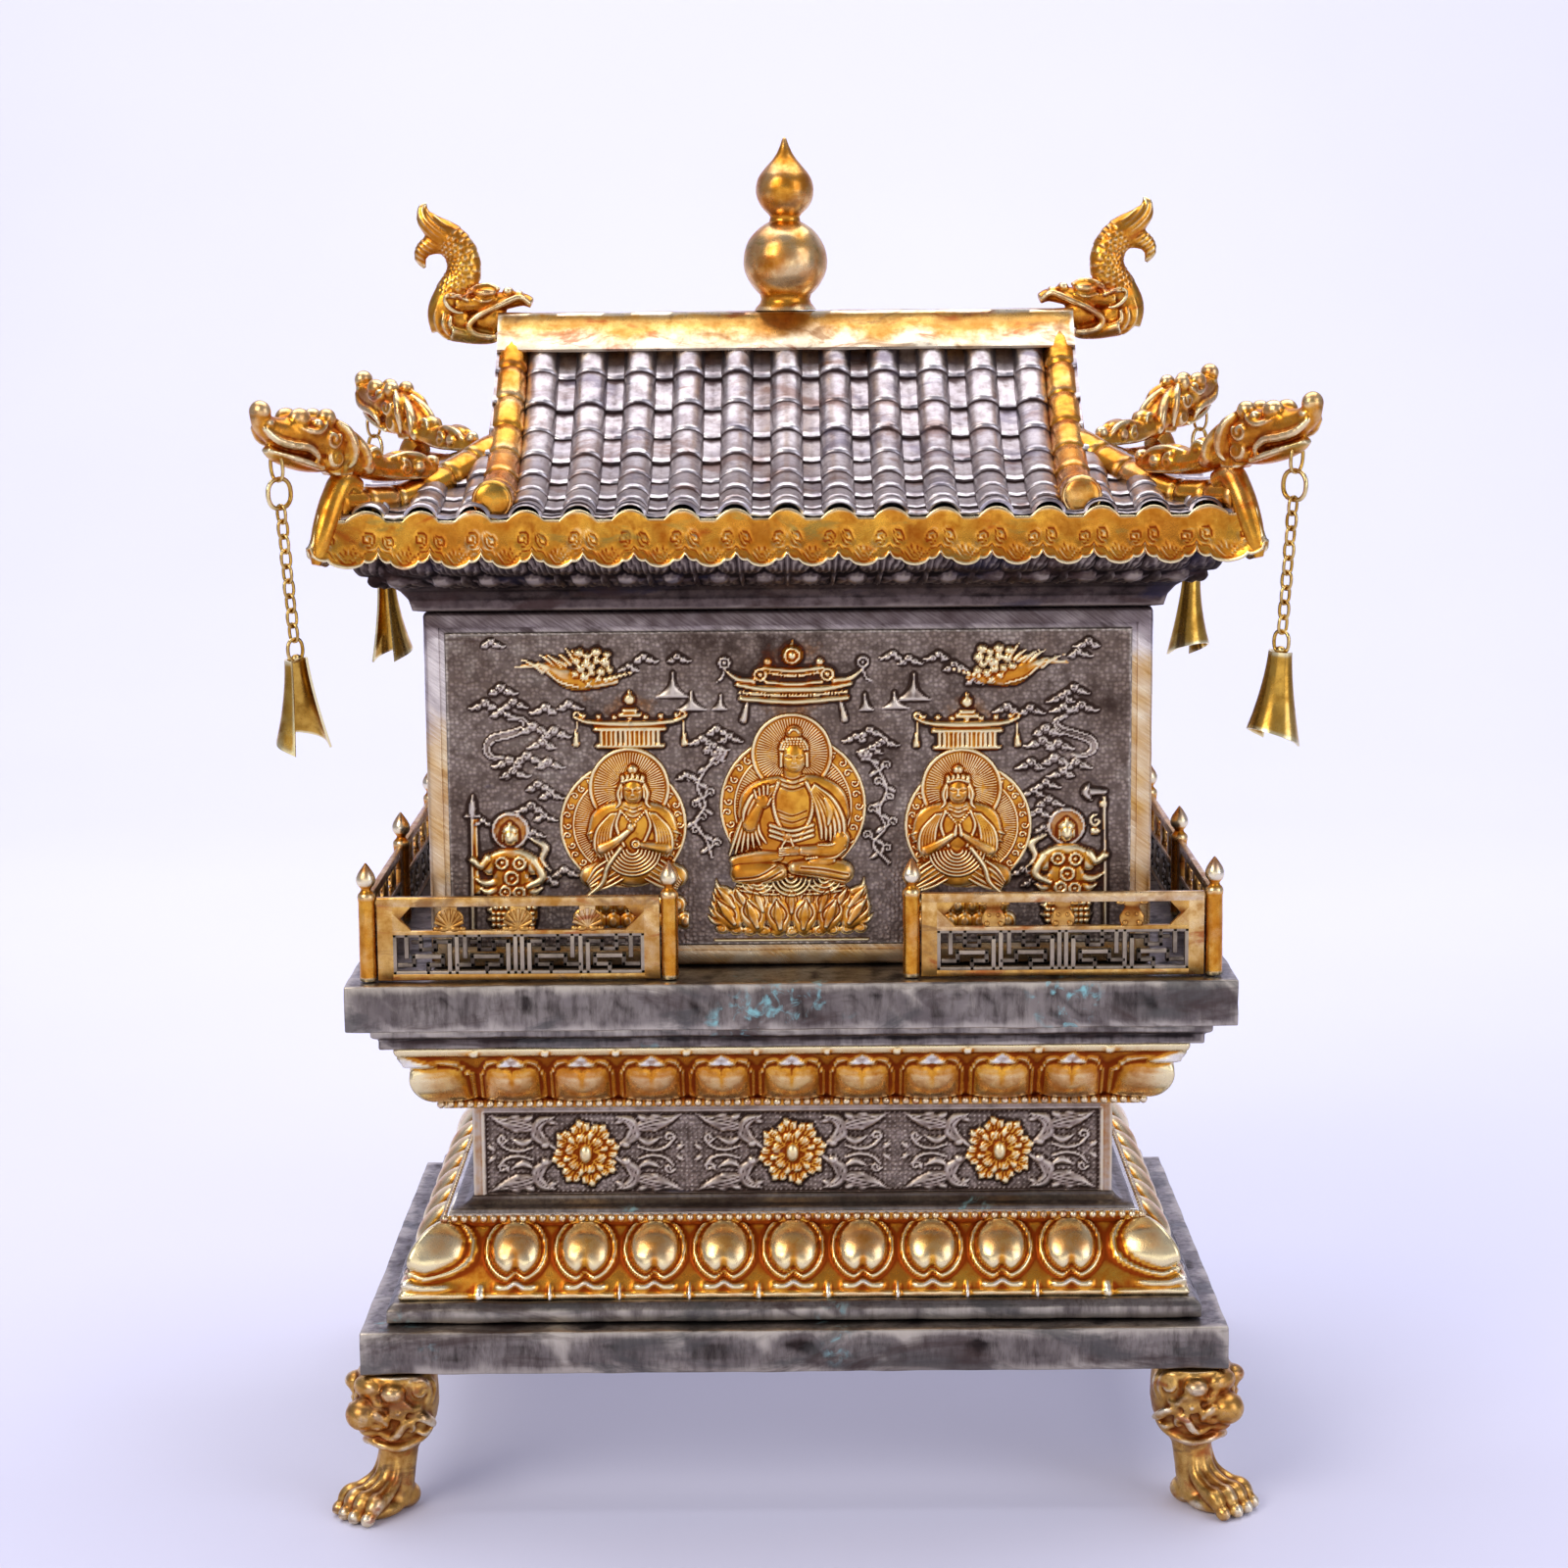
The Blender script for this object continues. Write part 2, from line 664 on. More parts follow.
def relief_bar(x, z, half_width, half_height, relief, taper=1.0):
    """A raised bar or panel, its upper edge narrowed by the taper."""
    outline = [
        (x - half_width, z - half_height),
        (x + half_width, z - half_height),
        (x + half_width * taper, z + half_height),
        (x - half_width * taper, z + half_height),
    ]
    return prism(outline, "Y", -relief, RELIEF_ROOT)


def add_waist():
    bottom = LOWER_LOTUS_TOP + GAP
    middle = (bottom + WAIST_TOP) / 2
    core = loft([rectangle(WAIST_HALF, bottom), rectangle(WAIST_HALF, WAIST_TOP)])
    flowers = []
    for facing in (0, math.pi):
        turn = Matrix.Rotation(facing, 4, "Z")
        for place_along in (-1, 0, 1):
            x = place_along * FLOWER_SPACING
            flower = relief_dome(x, middle, FLOWER_RADIUS, FLOWER_RADIUS, FLOWER_RELIEF)
            flowers.append(moved(flower, turn @ Matrix.Translation((0, -WAIST_HALF.y, 0))))
    mesh = combined("waist_block", core, flowers)
    place("waist_block", mesh, RELIEF_SILVER)


# Railing


def make_post():
    """A railing post on the floor at its own origin."""
    cap = POST_HEIGHT
    tip = cap + BUD_HEIGHT
    profile = [
        (POST_RADIUS, GAP),
        (POST_RADIUS, cap),
        (POST_RADIUS * 0.60, cap + 0.10 * BUD_HEIGHT),
        (BUD_RADIUS, cap + 0.45 * BUD_HEIGHT),
        (0, tip),
    ]
    return mesh_of(turned(profile, POST_SIDES), "railing_post")


def make_panel(length):
    """A pierced railing panel, centred on its origin along X, standing on the floor."""
    half = length / 2
    plate = block((-half, -PANEL_THICKNESS / 2, GAP), (half, PANEL_THICKNESS / 2, PANEL_HEIGHT))
    holes = []
    slot_half = half - PANEL_BORDER
    fret_half = slot_half + SLOT_HEIGHT / 2
    slot_top = PANEL_HEIGHT - SLOT_TOP_MARGIN
    fret_top = FRET_BOTTOM_MARGIN + FRET_HEIGHT
    rows = (
        (slot_half, BRACKET_WIDTH, slot_top - SLOT_HEIGHT, slot_top),
        (fret_half, FRET_BAR, FRET_BOTTOM_MARGIN, fret_top),
    )
    for reach, bar, bottom, top in rows:
        pitch = (2 * reach + bar) / OPENINGS_ALONG_PANEL
        for k in range(OPENINGS_ALONG_PANEL):
            left = -reach + k * pitch
            right = left + pitch - bar
            low = (left, -PANEL_THICKNESS, bottom)
            high = (right, PANEL_THICKNESS, top)
            holes.append(block(low, high))
    return combined("railing_panel", plate, holes, "DIFFERENCE")


def add_railing():
    post_x = TERRACE_WIDTH / 2 - POST_INSET
    post_y = TERRACE_DEPTH / 2 - POST_INSET
    gate_x = GATE_WIDTH / 2
    post = make_post()
    places = []
    for end, sy in (("front", -1), ("back", 1)):
        for side, sx in (("left", -1), ("right", 1)):
            places.append((f"{end}_{side}_corner_post", sx * post_x, sy * post_y))
            places.append((f"{end}_{side}_gate_post", sx * gate_x, sy * post_y))
    for side, sx in (("left", -1), ("right", 1)):
        places.append((f"{side}_middle_post", sx * post_x, 0.0))
    for name, x, y in places:
        place(name, post, GILDING, Matrix.Translation((x, y, TERRACE_TOP)), True)
    clear = POST_RADIUS + GAP
    front_length = post_x - gate_x - 2 * clear
    side_length = post_y - 2 * clear
    front_panel = make_panel(front_length)
    side_panel = make_panel(side_length)
    for end, sy in (("front", -1), ("back", 1)):
        for side, sx in (("left", -1), ("right", 1)):
            centre = Vector((sx * (post_x + gate_x) / 2, sy * post_y, TERRACE_TOP))
            place(f"{end}_{side}_railing", front_panel, GILDING, Matrix.Translation(centre))
            centre = Vector((sx * post_x, sy * post_y / 2, TERRACE_TOP))
            turn = Matrix.Rotation(math.pi / 2, 4, "Z")
            place(f"{side}_{end}_railing", side_panel, GILDING, Matrix.Translation(centre) @ turn)


# Hall


def add_body():
    bottom = TERRACE_TOP + GAP
    body = loft([rectangle(BODY_HALF, bottom), rectangle(BODY_HALF, BODY_TOP)])
    pockets = []
    for half_width, distance, turn in pocket_faces():
        low = (-half_width, -distance - POCKET_DEPTH, bottom + FRAME_WIDTH)
        high = (half_width, -distance + POCKET_DEPTH, BODY_TOP - FRAME_WIDTH)
        pockets.append(moved(block(low, high), turn))
    mesh = combined("hall_body", body, pockets, "DIFFERENCE")
    place("hall_body", mesh, GILDING)


def pocket_faces():
    """Half width of the pocket, distance of the face, and turn, for the four faces of the hall."""
    for face in range(4):
        wide, far = (BODY_HALF.x, BODY_HALF.y) if face % 2 == 0 else (BODY_HALF.y, BODY_HALF.x)
        yield wide - FRAME_WIDTH, far, Matrix.Rotation(face * math.pi / 2, 4, "Z")


def canopy(x, z, width, relief):
    """A tasselled canopy over a figure: a bar with upturned ends, a hanging fringe and a jewel."""
    bar = relief_bar(x, z, width / 2, 0.020 * width, relief * 0.8)
    fringe = relief_bar(x, z - 0.077 * width, width * 0.26, 0.062 * width, relief * 0.7, 0.8)
    jewel = relief_dome(x, z + 0.082 * width, width * 0.13, 0.067 * width, relief, 5)
    return [bar, jewel, fringe]


def seated_figure(x, halo_z, halo_radius, knee_width, relief, foot_z):
    """A seated figure in front of a body halo and a head halo."""
    head_z = halo_z + 0.70 * halo_radius
    chest_z = (head_z + foot_z) / 2
    knee_z = foot_z + 0.14 * knee_width
    return [
        relief_disc(x, halo_z, halo_radius, relief * 0.24, 10),
        relief_disc(x, head_z, HEAD_HALO_RADIUS, relief * 0.36, 8),
        relief_dome(x, head_z, HEAD_HALF_WIDTH, HEAD_HALF_HEIGHT, relief * 0.95, 5),
        relief_dome(x, chest_z, knee_width * 0.27, (head_z - foot_z) * 0.36, relief * 0.85),
        relief_dome(x, knee_z, knee_width * 0.5, knee_width * 0.15, relief),
    ]


def front_relief_shells(low, high):
    """The front plate's carving, with X along the plate and Z as in the hall. Its places are shares
    of the plate's height."""
    tall = high - low
    middle = low + 0.385 * tall
    halo_z = middle + 0.068 * tall
    foot_z = middle - 0.192 * tall
    shells = seated_figure(0.0, halo_z, CENTRAL_HALO_RADIUS, 0.41 * tall, CENTRAL_RELIEF, foot_z)
    throne_z = low + 0.135 * tall
    shells.append(relief_bar(0.0, throne_z, 0.239 * tall, 0.056 * tall, CENTRAL_RELIEF * 0.8, 0.88))
    plinth_z = throne_z - 0.079 * tall
    shells.append(relief_bar(0.0, plinth_z, 0.262 * tall, 0.026 * tall, CENTRAL_RELIEF * 0.45))
    shells += canopy(0.0, high - 0.192 * tall, 0.454 * tall, ATTENDANT_RELIEF * 0.7)
    for side in (-1, 1):
        x = side * ATTENDANT_SPACING
        halo_z = middle - 0.012 * tall
        foot_z = middle - 0.274 * tall
        shells += seated_figure(x, halo_z, ATTENDANT_HALO_RADIUS, 0.29 * tall, ATTENDANT_RELIEF, foot_z)
        seat_z = low + 0.072 * tall
        shells.append(relief_bar(x, seat_z, 0.146 * tall, 0.058 * tall, ATTENDANT_RELIEF * 0.6, 0.8))
        shells += canopy(x, high - 0.305 * tall, 0.349 * tall, ATTENDANT_RELIEF * 0.7)
        guard_x = side * GUARDIAN_SPACING
        spear_x = guard_x + side * 0.116 * tall
        shells.append(relief_disc(guard_x, middle + 0.012 * tall, 0.058 * tall, GUARDIAN_RELIEF * 0.4, 8))
        guard_z = middle - 0.122 * tall
        shells.append(relief_dome(guard_x, guard_z, 0.077 * tall, 0.151 * tall, GUARDIAN_RELIEF))
        shells.append(relief_bar(spear_x, middle, 0.007 * tall, 0.146 * tall, GUARDIAN_RELIEF * 0.6))
        flame_x = side * 0.710 * tall
        flame_z = high - 0.122 * tall
        shells.append(relief_dome(flame_x, flame_z, 0.175 * tall, 0.058 * tall, ATTENDANT_RELIEF * 0.6, 5))
    return shells


def side_relief_shells(low, high):
    """A plainer plate: one large flower with a raised boss."""
    middle = (low + high) / 2
    boss = ROSETTE_BOSS_RADIUS
    return [
        relief_disc(0.0, middle, ROSETTE_RADIUS, ATTENDANT_RELIEF * 0.3, 12),
        relief_dome(0.0, middle, boss, boss, ATTENDANT_RELIEF * 0.8, 8),
    ]


def back_relief_shells(low, high):
    """Three flowers in a row on the back plate."""
    middle = (low + high) / 2
    radius = BACK_FLOWER_RADIUS
    shells = side_relief_shells(low, high)
    for side in (-1, 1):
        x = side * ATTENDANT_SPACING
        shells.append(relief_dome(x, middle, radius, radius, ATTENDANT_RELIEF * 0.6, 8))
    return shells


def add_relief_plates():
    low = TERRACE_TOP + GAP + FRAME_WIDTH + GAP
    high = BODY_TOP - FRAME_WIDTH - GAP
    makers = {
        "front": front_relief_shells,
        "right": side_relief_shells,
        "back": back_relief_shells,
        "left": side_relief_shells,
    }
    for (half_width, distance, turn), (name, carving) in zip(pocket_faces(), makers.items()):
        half = half_width - GAP
        plate = block((-half, 0.0, low), (half, PLATE_THICKNESS - GAP, high))
        mesh = combined(f"{name}_relief_plate", plate, carving(low, high))
        face = distance - POCKET_DEPTH + PLATE_THICKNESS
        place(f"{name}_relief_plate", mesh, RELIEF_SILVER, turn @ Matrix.Translation((0, -face, 0)))


# Cornice and eaves


def add_cornice():
    bottom = BODY_TOP + GAP
    spread = CORNICE_SPREAD
    height = CORNICE_HEIGHT
    shape = loft(
        [
            rectangle(BODY_HALF, bottom),
            rectangle(BODY_HALF, bottom + 0.14 * height, CORNICE_NECK),
            rectangle(BODY_HALF, bottom + 0.30 * height, 0.62 * spread),
            rectangle(BODY_HALF, bottom + 0.52 * height, 0.92 * spread),
            rectangle(BODY_HALF, bottom + 0.72 * height, spread),
            rectangle(BODY_HALF, CORNICE_TOP, spread),
        ]
    )
    place("feather_cornice", mesh_of(shape, "feather_cornice"), DARK_SILVER)


def make_valance(half_length, lobes):
    """A lobed strip along X, its inner top edge at Y = 0, flared towards -Y below, mitred at the ends."""
    top = ROOF_BOTTOM - GAP
    notch = top - VALANCE_HEIGHT + LOBE_DEPTH
    tip = top - VALANCE_HEIGHT
    pitch = 2 * half_length / lobes
    outline = [(-half_length, 0.0)]
    for k in range(lobes):
        start = -half_length + k * pitch
        outline.append((start, notch - top))
        outline.append((start + LOBE_SHOULDER * pitch, tip - top))
        outline.append((start + (1 - LOBE_SHOULDER) * pitch, tip - top))
    outline.append((half_length, notch - top))
    outline.append((half_length, 0.0))
    rings = []
    for outward in (0.0, VALANCE_THICKNESS):
        ring = []
        for x, drop in outline:
            flare = outward + VALANCE_FLARE * (drop / (tip - top))
            stretch = (half_length + flare) / half_length
            ring.append(Vector((x * stretch, -flare, top + drop)))
        rings.append(ring)
    return mesh_of(loft(rings), "valance")


def add_valances():
    inset = VALANCE_THICKNESS + GAP
    for name, along, away, lobes, face in (
        ("front", EAVE_HALF.x, EAVE_HALF.y, LOBES_ALONG_FRONT, 0),
        ("right", EAVE_HALF.y, EAVE_HALF.x, LOBES_ALONG_SIDE, 1),
        ("back", EAVE_HALF.x, EAVE_HALF.y, LOBES_ALONG_FRONT, 2),
        ("left", EAVE_HALF.y, EAVE_HALF.x, LOBES_ALONG_SIDE, 3),
    ):
        mesh = make_valance(along - inset - GAP, lobes)
        turn = Matrix.Rotation(face * math.pi / 2, 4, "Z")
        place(f"{name}_valance", mesh, GILDING, turn @ Matrix.Translation((0, -(away - inset), 0)))


# Roof


def tile_stops(centre, width):
    """Where one round tile row starts, crests and ends across a slope."""
    return [(centre - width / 2, 0.0), (centre, TILE_HEIGHT), (centre + width / 2, 0.0)]


def middle_stops(half_length, rows, pitch, width):
    """Stops of the tile rows between two ends, with the ends themselves."""
    stops = [(-half_length, 0.0)]
    for k in range(rows):
        stops += tile_stops((k - (rows - 1) / 2) * pitch, width)
    return stops + [(half_length, 0.0)]


def rows_between_descents():
    """How many tile rows fit side by side between the two descending ridges."""
    return int(2 * (DESCENT_PLACE - DESCENT_RADIUS) / TILE_PITCH)


def corner_stops():
    """Stops of the rows on the skirt beyond the gable, out to the corner."""
    first = GABLE_HALF_WIDTH + SKIRT_ROW_OFFSET
    stops = []
    for k in range(int((EAVE_HALF.x - first) / TILE_PITCH)):
        stops += tile_stops(first + k * TILE_PITCH, TILE_WIDTH)
    return stops + [(EAVE_HALF.x, 0.0)]


def hip_scale():
    """How far the hip runs back for each step that it runs sideways."""
    return (EAVE_HALF.y - HIP_START_DEPTH) / (EAVE_HALF.x - GABLE_HALF_WIDTH)


def line_down(start, count):
    """Depths from a start down to the front eave."""
    return [start + (EAVE_HALF.y - start) * k / count for k in range(count + 1)]


class RoofSheet:
    """Grows the roof's one closed skin, sharing each vertex that two faces meet at."""

    def __init__(self):
        self.bm = bmesh.new()
        self.known = {}

    def vertex(self, point):
        key = tuple(round(value / SAME_POINT) for value in point)
        if key not in self.known:
            self.known[key] = self.bm.verts.new(point)
        return self.known[key]

    def face(self, points):
        corners = list(dict.fromkeys(self.vertex(point) for point in points))
        if len(corners) > 2:
            self.bm.faces.new(corners)

    def strip(self, lines):
        """Quads between neighbouring lines of as many points each."""
        for line, following in zip(lines, lines[1:]):
            for k in range(len(line) - 1):
                self.face([line[k], following[k], following[k + 1], line[k + 1]])


def slope_line(x, rise, sy):
    """Points down the front or back slope at one X: from the ridge, or from the hip beyond the gable."""
    if abs(x) <= GABLE_HALF_WIDTH:
        drop = (HIP_START_DEPTH - RIDGE_SEAT) / UPPER_STATIONS
        upper = [RIDGE_SEAT + drop * k for k in range(UPPER_STATIONS)]
        depths = upper + line_down(HIP_START_DEPTH, SKIRT_STATIONS)
    else:
        depths = line_down(HIP_START_DEPTH + (abs(x) - GABLE_HALF_WIDTH) * hip_scale(), SKIRT_STATIONS)
    return [
        Vector((x, sy * depth, roof_height(depth) + (rise if k else 0.0))) for k, depth in enumerate(depths)
    ]


def skirt_line(y, rise, sx):
    """Points down a side skirt at one Y: from the gable's foot, or from the hip near a corner."""
    start = max(HIP_START_DEPTH, abs(y))
    points = []
    for depth in line_down(start, SKIRT_STATIONS):
        x = GABLE_HALF_WIDTH + (depth - HIP_START_DEPTH) / hip_scale()
        risen = rise if depth > start or abs(y) < HIP_START_DEPTH else 0.0
        points.append(Vector((sx * x, y, roof_height(depth) + risen)))
    return points


def roof_stops():
    """Stops along the front eave from corner to corner, and those along a side eave."""
    beyond = corner_stops()
    middle = middle_stops(GABLE_HALF_WIDTH, rows_between_descents(), TILE_PITCH, TILE_WIDTH)
    front = [(-x, rise) for x, rise in reversed(beyond)] + middle + beyond
    scale = hip_scale()
    turned_stops = [(HIP_START_DEPTH + (x - GABLE_HALF_WIDTH) * scale, rise) for x, rise in beyond]
    pitch = 2 * HIP_START_DEPTH / TILE_ROWS_GABLE
    middle = middle_stops(HIP_START_DEPTH, TILE_ROWS_GABLE, pitch, TILE_WIDTH * scale)
    side = [(-y, rise) for y, rise in reversed(turned_stops)] + middle + turned_stops
    return front, side


def make_roof():
    """The roof in one sheet: main slopes between the gables, and skirts that meet at the hips."""
    sheet = RoofSheet()
    front_stops, side_stops = roof_stops()
    edges = {}
    inner = [stop for stop in front_stops if abs(stop[0]) <= GABLE_HALF_WIDTH]
    for sy in (-1, 1):
        slope = [slope_line(x, rise, sy) for x, rise in inner]
        sheet.strip(slope)
        edges[sy] = [line[-1] for line in slope]
        for sx in (-1, 1):
            outer = [stop for stop in front_stops if stop[0] * sx >= GABLE_HALF_WIDTH]
            outer.sort(key=lambda stop: abs(stop[0]))
            lines = [slope_line(x, rise, sy) for x, rise in outer]
            lines[0] = lines[0][UPPER_STATIONS:]
            sheet.strip(lines)
            run = [line[-1] for line in lines[1:]]
            edges[sy] = edges[sy] + run if sx > 0 else run[::-1] + edges[sy]
    seat = [[Vector((x, sy * RIDGE_SEAT, ROOF_TOP)) for sy in (-1, 1)] for x, _ in inner]
    sheet.strip(seat)
    for sx in (-1, 1):
        lines = [skirt_line(y, rise, sx) for y, rise in side_stops]
        sheet.strip(lines)
        edges[sx * 2] = [line[-1] for line in lines]
        foot = [line[0] for line in lines if abs(line[0].y) <= HIP_START_DEPTH + SAME_POINT]
        gable = []
        for sy in (1, -1):
            down = slope_line(sx * GABLE_HALF_WIDTH, 0.0, sy)[: UPPER_STATIONS + 1]
            gable += down[:0:-1] + [down[0]] if sy > 0 else down
        sheet.face(foot + gable[1:-1])
    around = edges[-1] + edges[2][1:] + edges[1][-2::-1] + edges[-2][-2:0:-1]
    below = [Vector((point.x, point.y, ROOF_BOTTOM)) for point in around]
    closed = list(zip(around, below))
    for (top, low), (next_top, next_low) in zip(closed, closed[1:] + closed[:1]):
        sheet.face([top, low, next_low, next_top])
    sheet.face(below)
    mesh = oriented(sheet.bm)
    grooves = []
    for _, frame in corner_frames():
        grooves += ridge_tubes(frame, GAP)
    return combined("tiled_roof", mesh, grooves, "DIFFERENCE")


def oriented(bm):
    """The shape with its faces turned outwards."""
    bmesh.ops.recalc_face_normals(bm, faces=bm.faces[:])
    return bm


# Ridges


def ridge_tubes(frame, swell):
    """The descending tube along the gable's edge and the hip tube that leaves it for one corner."""
    corner = frame.translation
    sx = math.copysign(1, corner.x)
    sy = math.copysign(1, corner.y)
    descent = []
    count = UPPER_STATIONS + SKIRT_STATIONS
    for k in range(count + 1):
        share = k / count
        depth = RIDGE_SEAT + GAP + (EAVE_HALF.y - RIDGE_SEAT - GAP - DESCENT_END_MARGIN) * share
        radius = DESCENT_RADIUS * (0.92 + 0.14 * share) + swell
        lowest = ROOF_BOTTOM + GROOVE_FLOOR + GAP + radius - swell
        height = max(roof_height(depth) + 0.25 * DESCENT_RADIUS, lowest)
        descent.append((Vector((sx * DESCENT_PLACE, sy * depth, height)), radius, radius))
    hip = []
    start = Vector((sx * GABLE_HALF_WIDTH, sy * HIP_START_DEPTH, 0))
    for k in range(-1, HIP_STATIONS + 1):
        share = k / HIP_STATIONS
        level = start.lerp(Vector((corner.x, corner.y, 0)), share)
        lowest = ROOF_BOTTOM + GROOVE_FLOOR + GAP + HIP_RADIUS
        height = max(roof_height(level.y) + HIP_LIFT, lowest + HIP_CORNER_LIFT * share**3)
        radius = HIP_RADIUS + swell
        hip.append((Vector((level.x, level.y, height)), radius, radius))
    hip_across = Vector((0, 0, 1)).cross(frame.to_3x3() @ Vector((1, 0, 0)))
    return [swept(descent, TUBE_SIDES, Vector((1, 0, 0))), swept(hip, TUBE_SIDES, hip_across)]


def add_ridges():
    half_thick = RIDGE_THICKNESS / 2
    waist = half_thick * RIDGE_WAIST
    low = ROOF_TOP + GAP
    outline = [
        (-half_thick, low),
        (half_thick, low),
        (waist, low + 0.3 * RIDGE_HEIGHT),
        (waist, RIDGE_TOP - 0.12 * RIDGE_HEIGHT),
        (half_thick, RIDGE_TOP),
        (-half_thick, RIDGE_TOP),
        (-waist, RIDGE_TOP - 0.12 * RIDGE_HEIGHT),
        (-waist, low + 0.3 * RIDGE_HEIGHT),
    ]
    main = prism(outline, "X", -GABLE_HALF_WIDTH, GABLE_HALF_WIDTH)
    place("main_ridge", mesh_of(main, "main_ridge"), GILDING)
    for name, frame in corner_frames():
        tubes = ridge_tubes(frame, 0.0)
        low_corner = (-CORNER_BLOCK_LENGTH, -HIP_RADIUS * 0.9, EAVE_TOP + HIP_RADIUS)
        high_corner = (0.0, HIP_RADIUS * 0.9, EAVE_TOP + CORNER_BLOCK_HEIGHT)
        post = moved(block(low_corner, high_corner), frame)
        mesh = combined(f"{name}_ridge", tubes[0], [tubes[1], post])
        place(f"{name}_ridge", mesh, GILDING, smooth=True)


# Finial and dragons


def add_finial():
    base = RIDGE_TOP + GAP
    ball_radius = FINIAL_BALL_RADIUS
    ball_centre = base + ball_radius + FINIAL_BALL_DROP
    neck = ball_centre + ball_radius
    bulb_centre = neck + 0.97 * FINIAL_BULB_RADIUS
    tip = base + FINIAL_HEIGHT
    profile = [(FINIAL_FOOT_RADIUS, base), (FINIAL_FOOT_RADIUS * 0.86, base + FINIAL_BALL_DROP / 2)]
    for degrees in (-48, -16, 16, 48):
        angle = math.radians(degrees)
        profile.append((ball_radius * math.cos(angle), ball_centre + ball_radius * math.sin(angle)))
    profile.append((FINIAL_NECK_RADIUS, neck + 0.1 * FINIAL_NECK_RADIUS))
    profile.append((FINIAL_BULB_RADIUS * 0.86, bulb_centre - 0.55 * FINIAL_BULB_RADIUS))
    profile.append((FINIAL_BULB_RADIUS, bulb_centre))
    profile.append((FINIAL_BULB_RADIUS * 0.80, bulb_centre + 0.62 * FINIAL_BULB_RADIUS))
    profile.append((FINIAL_BULB_RADIUS * 0.34, bulb_centre + 1.22 * FINIAL_BULB_RADIUS))
    profile.append((0, tip))
    place("gourd_finial", mesh_of(turned(profile, FINIAL_SIDES), "gourd_finial"), GILDING, smooth=True)


def make_ridge_dragon():
    """The dragon that bites the end of the main ridge: X away from the ridge's end, Z up from its top.
    Its outline runs from the lower jaw round the back, the curled tail, the brow and the snout."""
    size = RIDGE_DRAGON_HEIGHT
    half = RIDGE_DRAGON_THICKNESS / 2
    cheek = half - RIDGE_DRAGON_BEVEL
    seat = GAP / size
    profile = [
        (seat, -0.250),
        (0.362, -0.240),
        (0.450, -0.200),
        (0.508, -0.080),
        (0.475, 0.082),
        (0.385, 0.205),
        (0.370, 0.355),
        (0.445, 0.400),
        (0.512, 0.345),
        (0.555, 0.412),
        (0.508, 0.520),
        (0.550, 0.640),
        (0.492, 0.738),
        (0.298, 0.605),
        (0.190, 0.495),
        (0.128, 0.342),
        (0.120, 0.190),
        (0.065, 0.145),
        (-0.200, 0.100),
        (-0.252, seat),
        (seat, seat),
        (0.182, -0.118),
        (seat, -0.188),
    ]
    body = prism([(x * size, z * size) for x, z in profile], "Y", -cheek, cheek)
    bmesh.ops.recalc_face_normals(body, faces=body.faces[:])
    flanks = [face for face in body.faces if abs(face.normal.y) > 0.9]
    bmesh.ops.inset_region(body, faces=flanks, thickness=RIDGE_DRAGON_BEVEL / 2, depth=RIDGE_DRAGON_BEVEL)
    eyes = []
    for side in (-1, 1):
        eyes.append(ball((0.075 * size, side * half, 0.095 * size), EYE_RADII, 6, 2))
    return combined("ridge_dragon", body, eyes)


def add_ridge_dragons():
    mesh = make_ridge_dragon()
    ridge_end = Matrix.Translation((GABLE_HALF_WIDTH, 0, RIDGE_TOP))
    for name, turn in (("right", 0.0), ("left", math.pi)):
        away = Matrix.Rotation(turn, 4, "Z")
        place(f"{name}_ridge_dragon", mesh, GILDING, away @ ridge_end, True)


